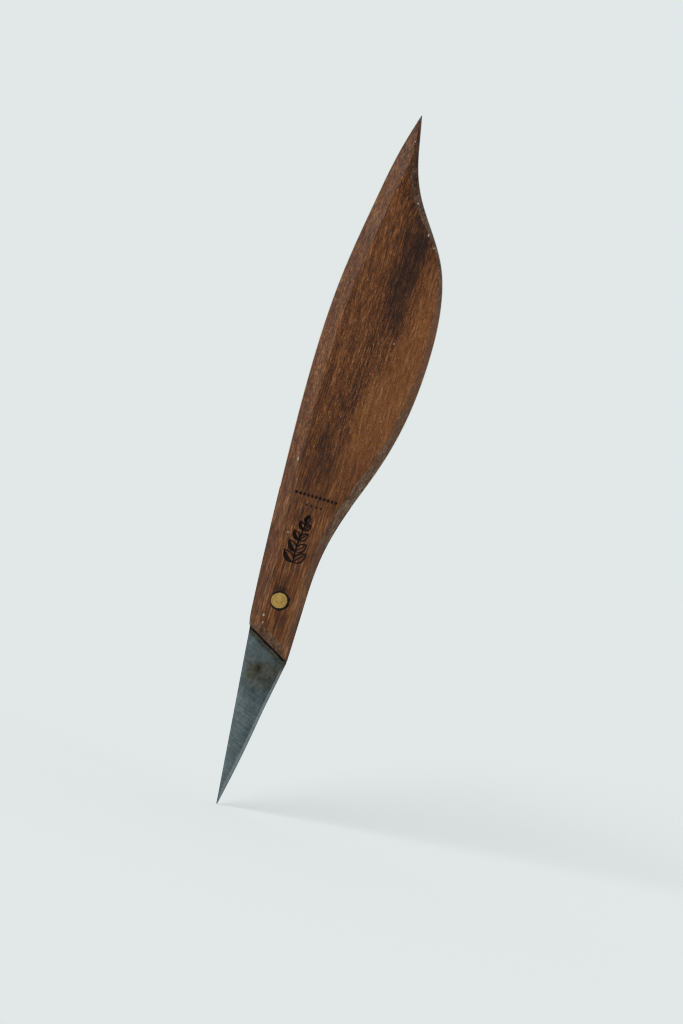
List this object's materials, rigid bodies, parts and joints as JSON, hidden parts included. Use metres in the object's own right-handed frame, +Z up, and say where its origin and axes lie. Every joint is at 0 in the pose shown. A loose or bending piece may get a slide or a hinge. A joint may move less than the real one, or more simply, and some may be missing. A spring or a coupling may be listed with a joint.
{
  "type": "lino cutter",
  "caption": "Fixed-blade hand knife for cutting lino and clay: a slim pointed steel blade, glued and pinned into the slotted end of a leaf-shaped wooden handle.",
  "frame": {"origin": "the point of the blade", "axes": "+Z up the tool from the blade's point to the handle's tail, +X towards the cutting edge and the handle's swell, -Y out of the handle's front face"},
  "size_m": [0.0306, 0.0124, 0.198],
  "materials": {
    "walnut": "oiled, satin",
    "steel": "ground, with a dark patina",
    "brass": "filed flush",
    "adhesive": "cured, dull"
  },
  "bodies": {
    "root": {"handle": "walnut", "blade": "steel", "rivet_pin": "brass", "tang_adhesive": "adhesive", "pin_adhesive_front": "adhesive", "pin_adhesive_back": "adhesive"}
  },
  "joints": []
}
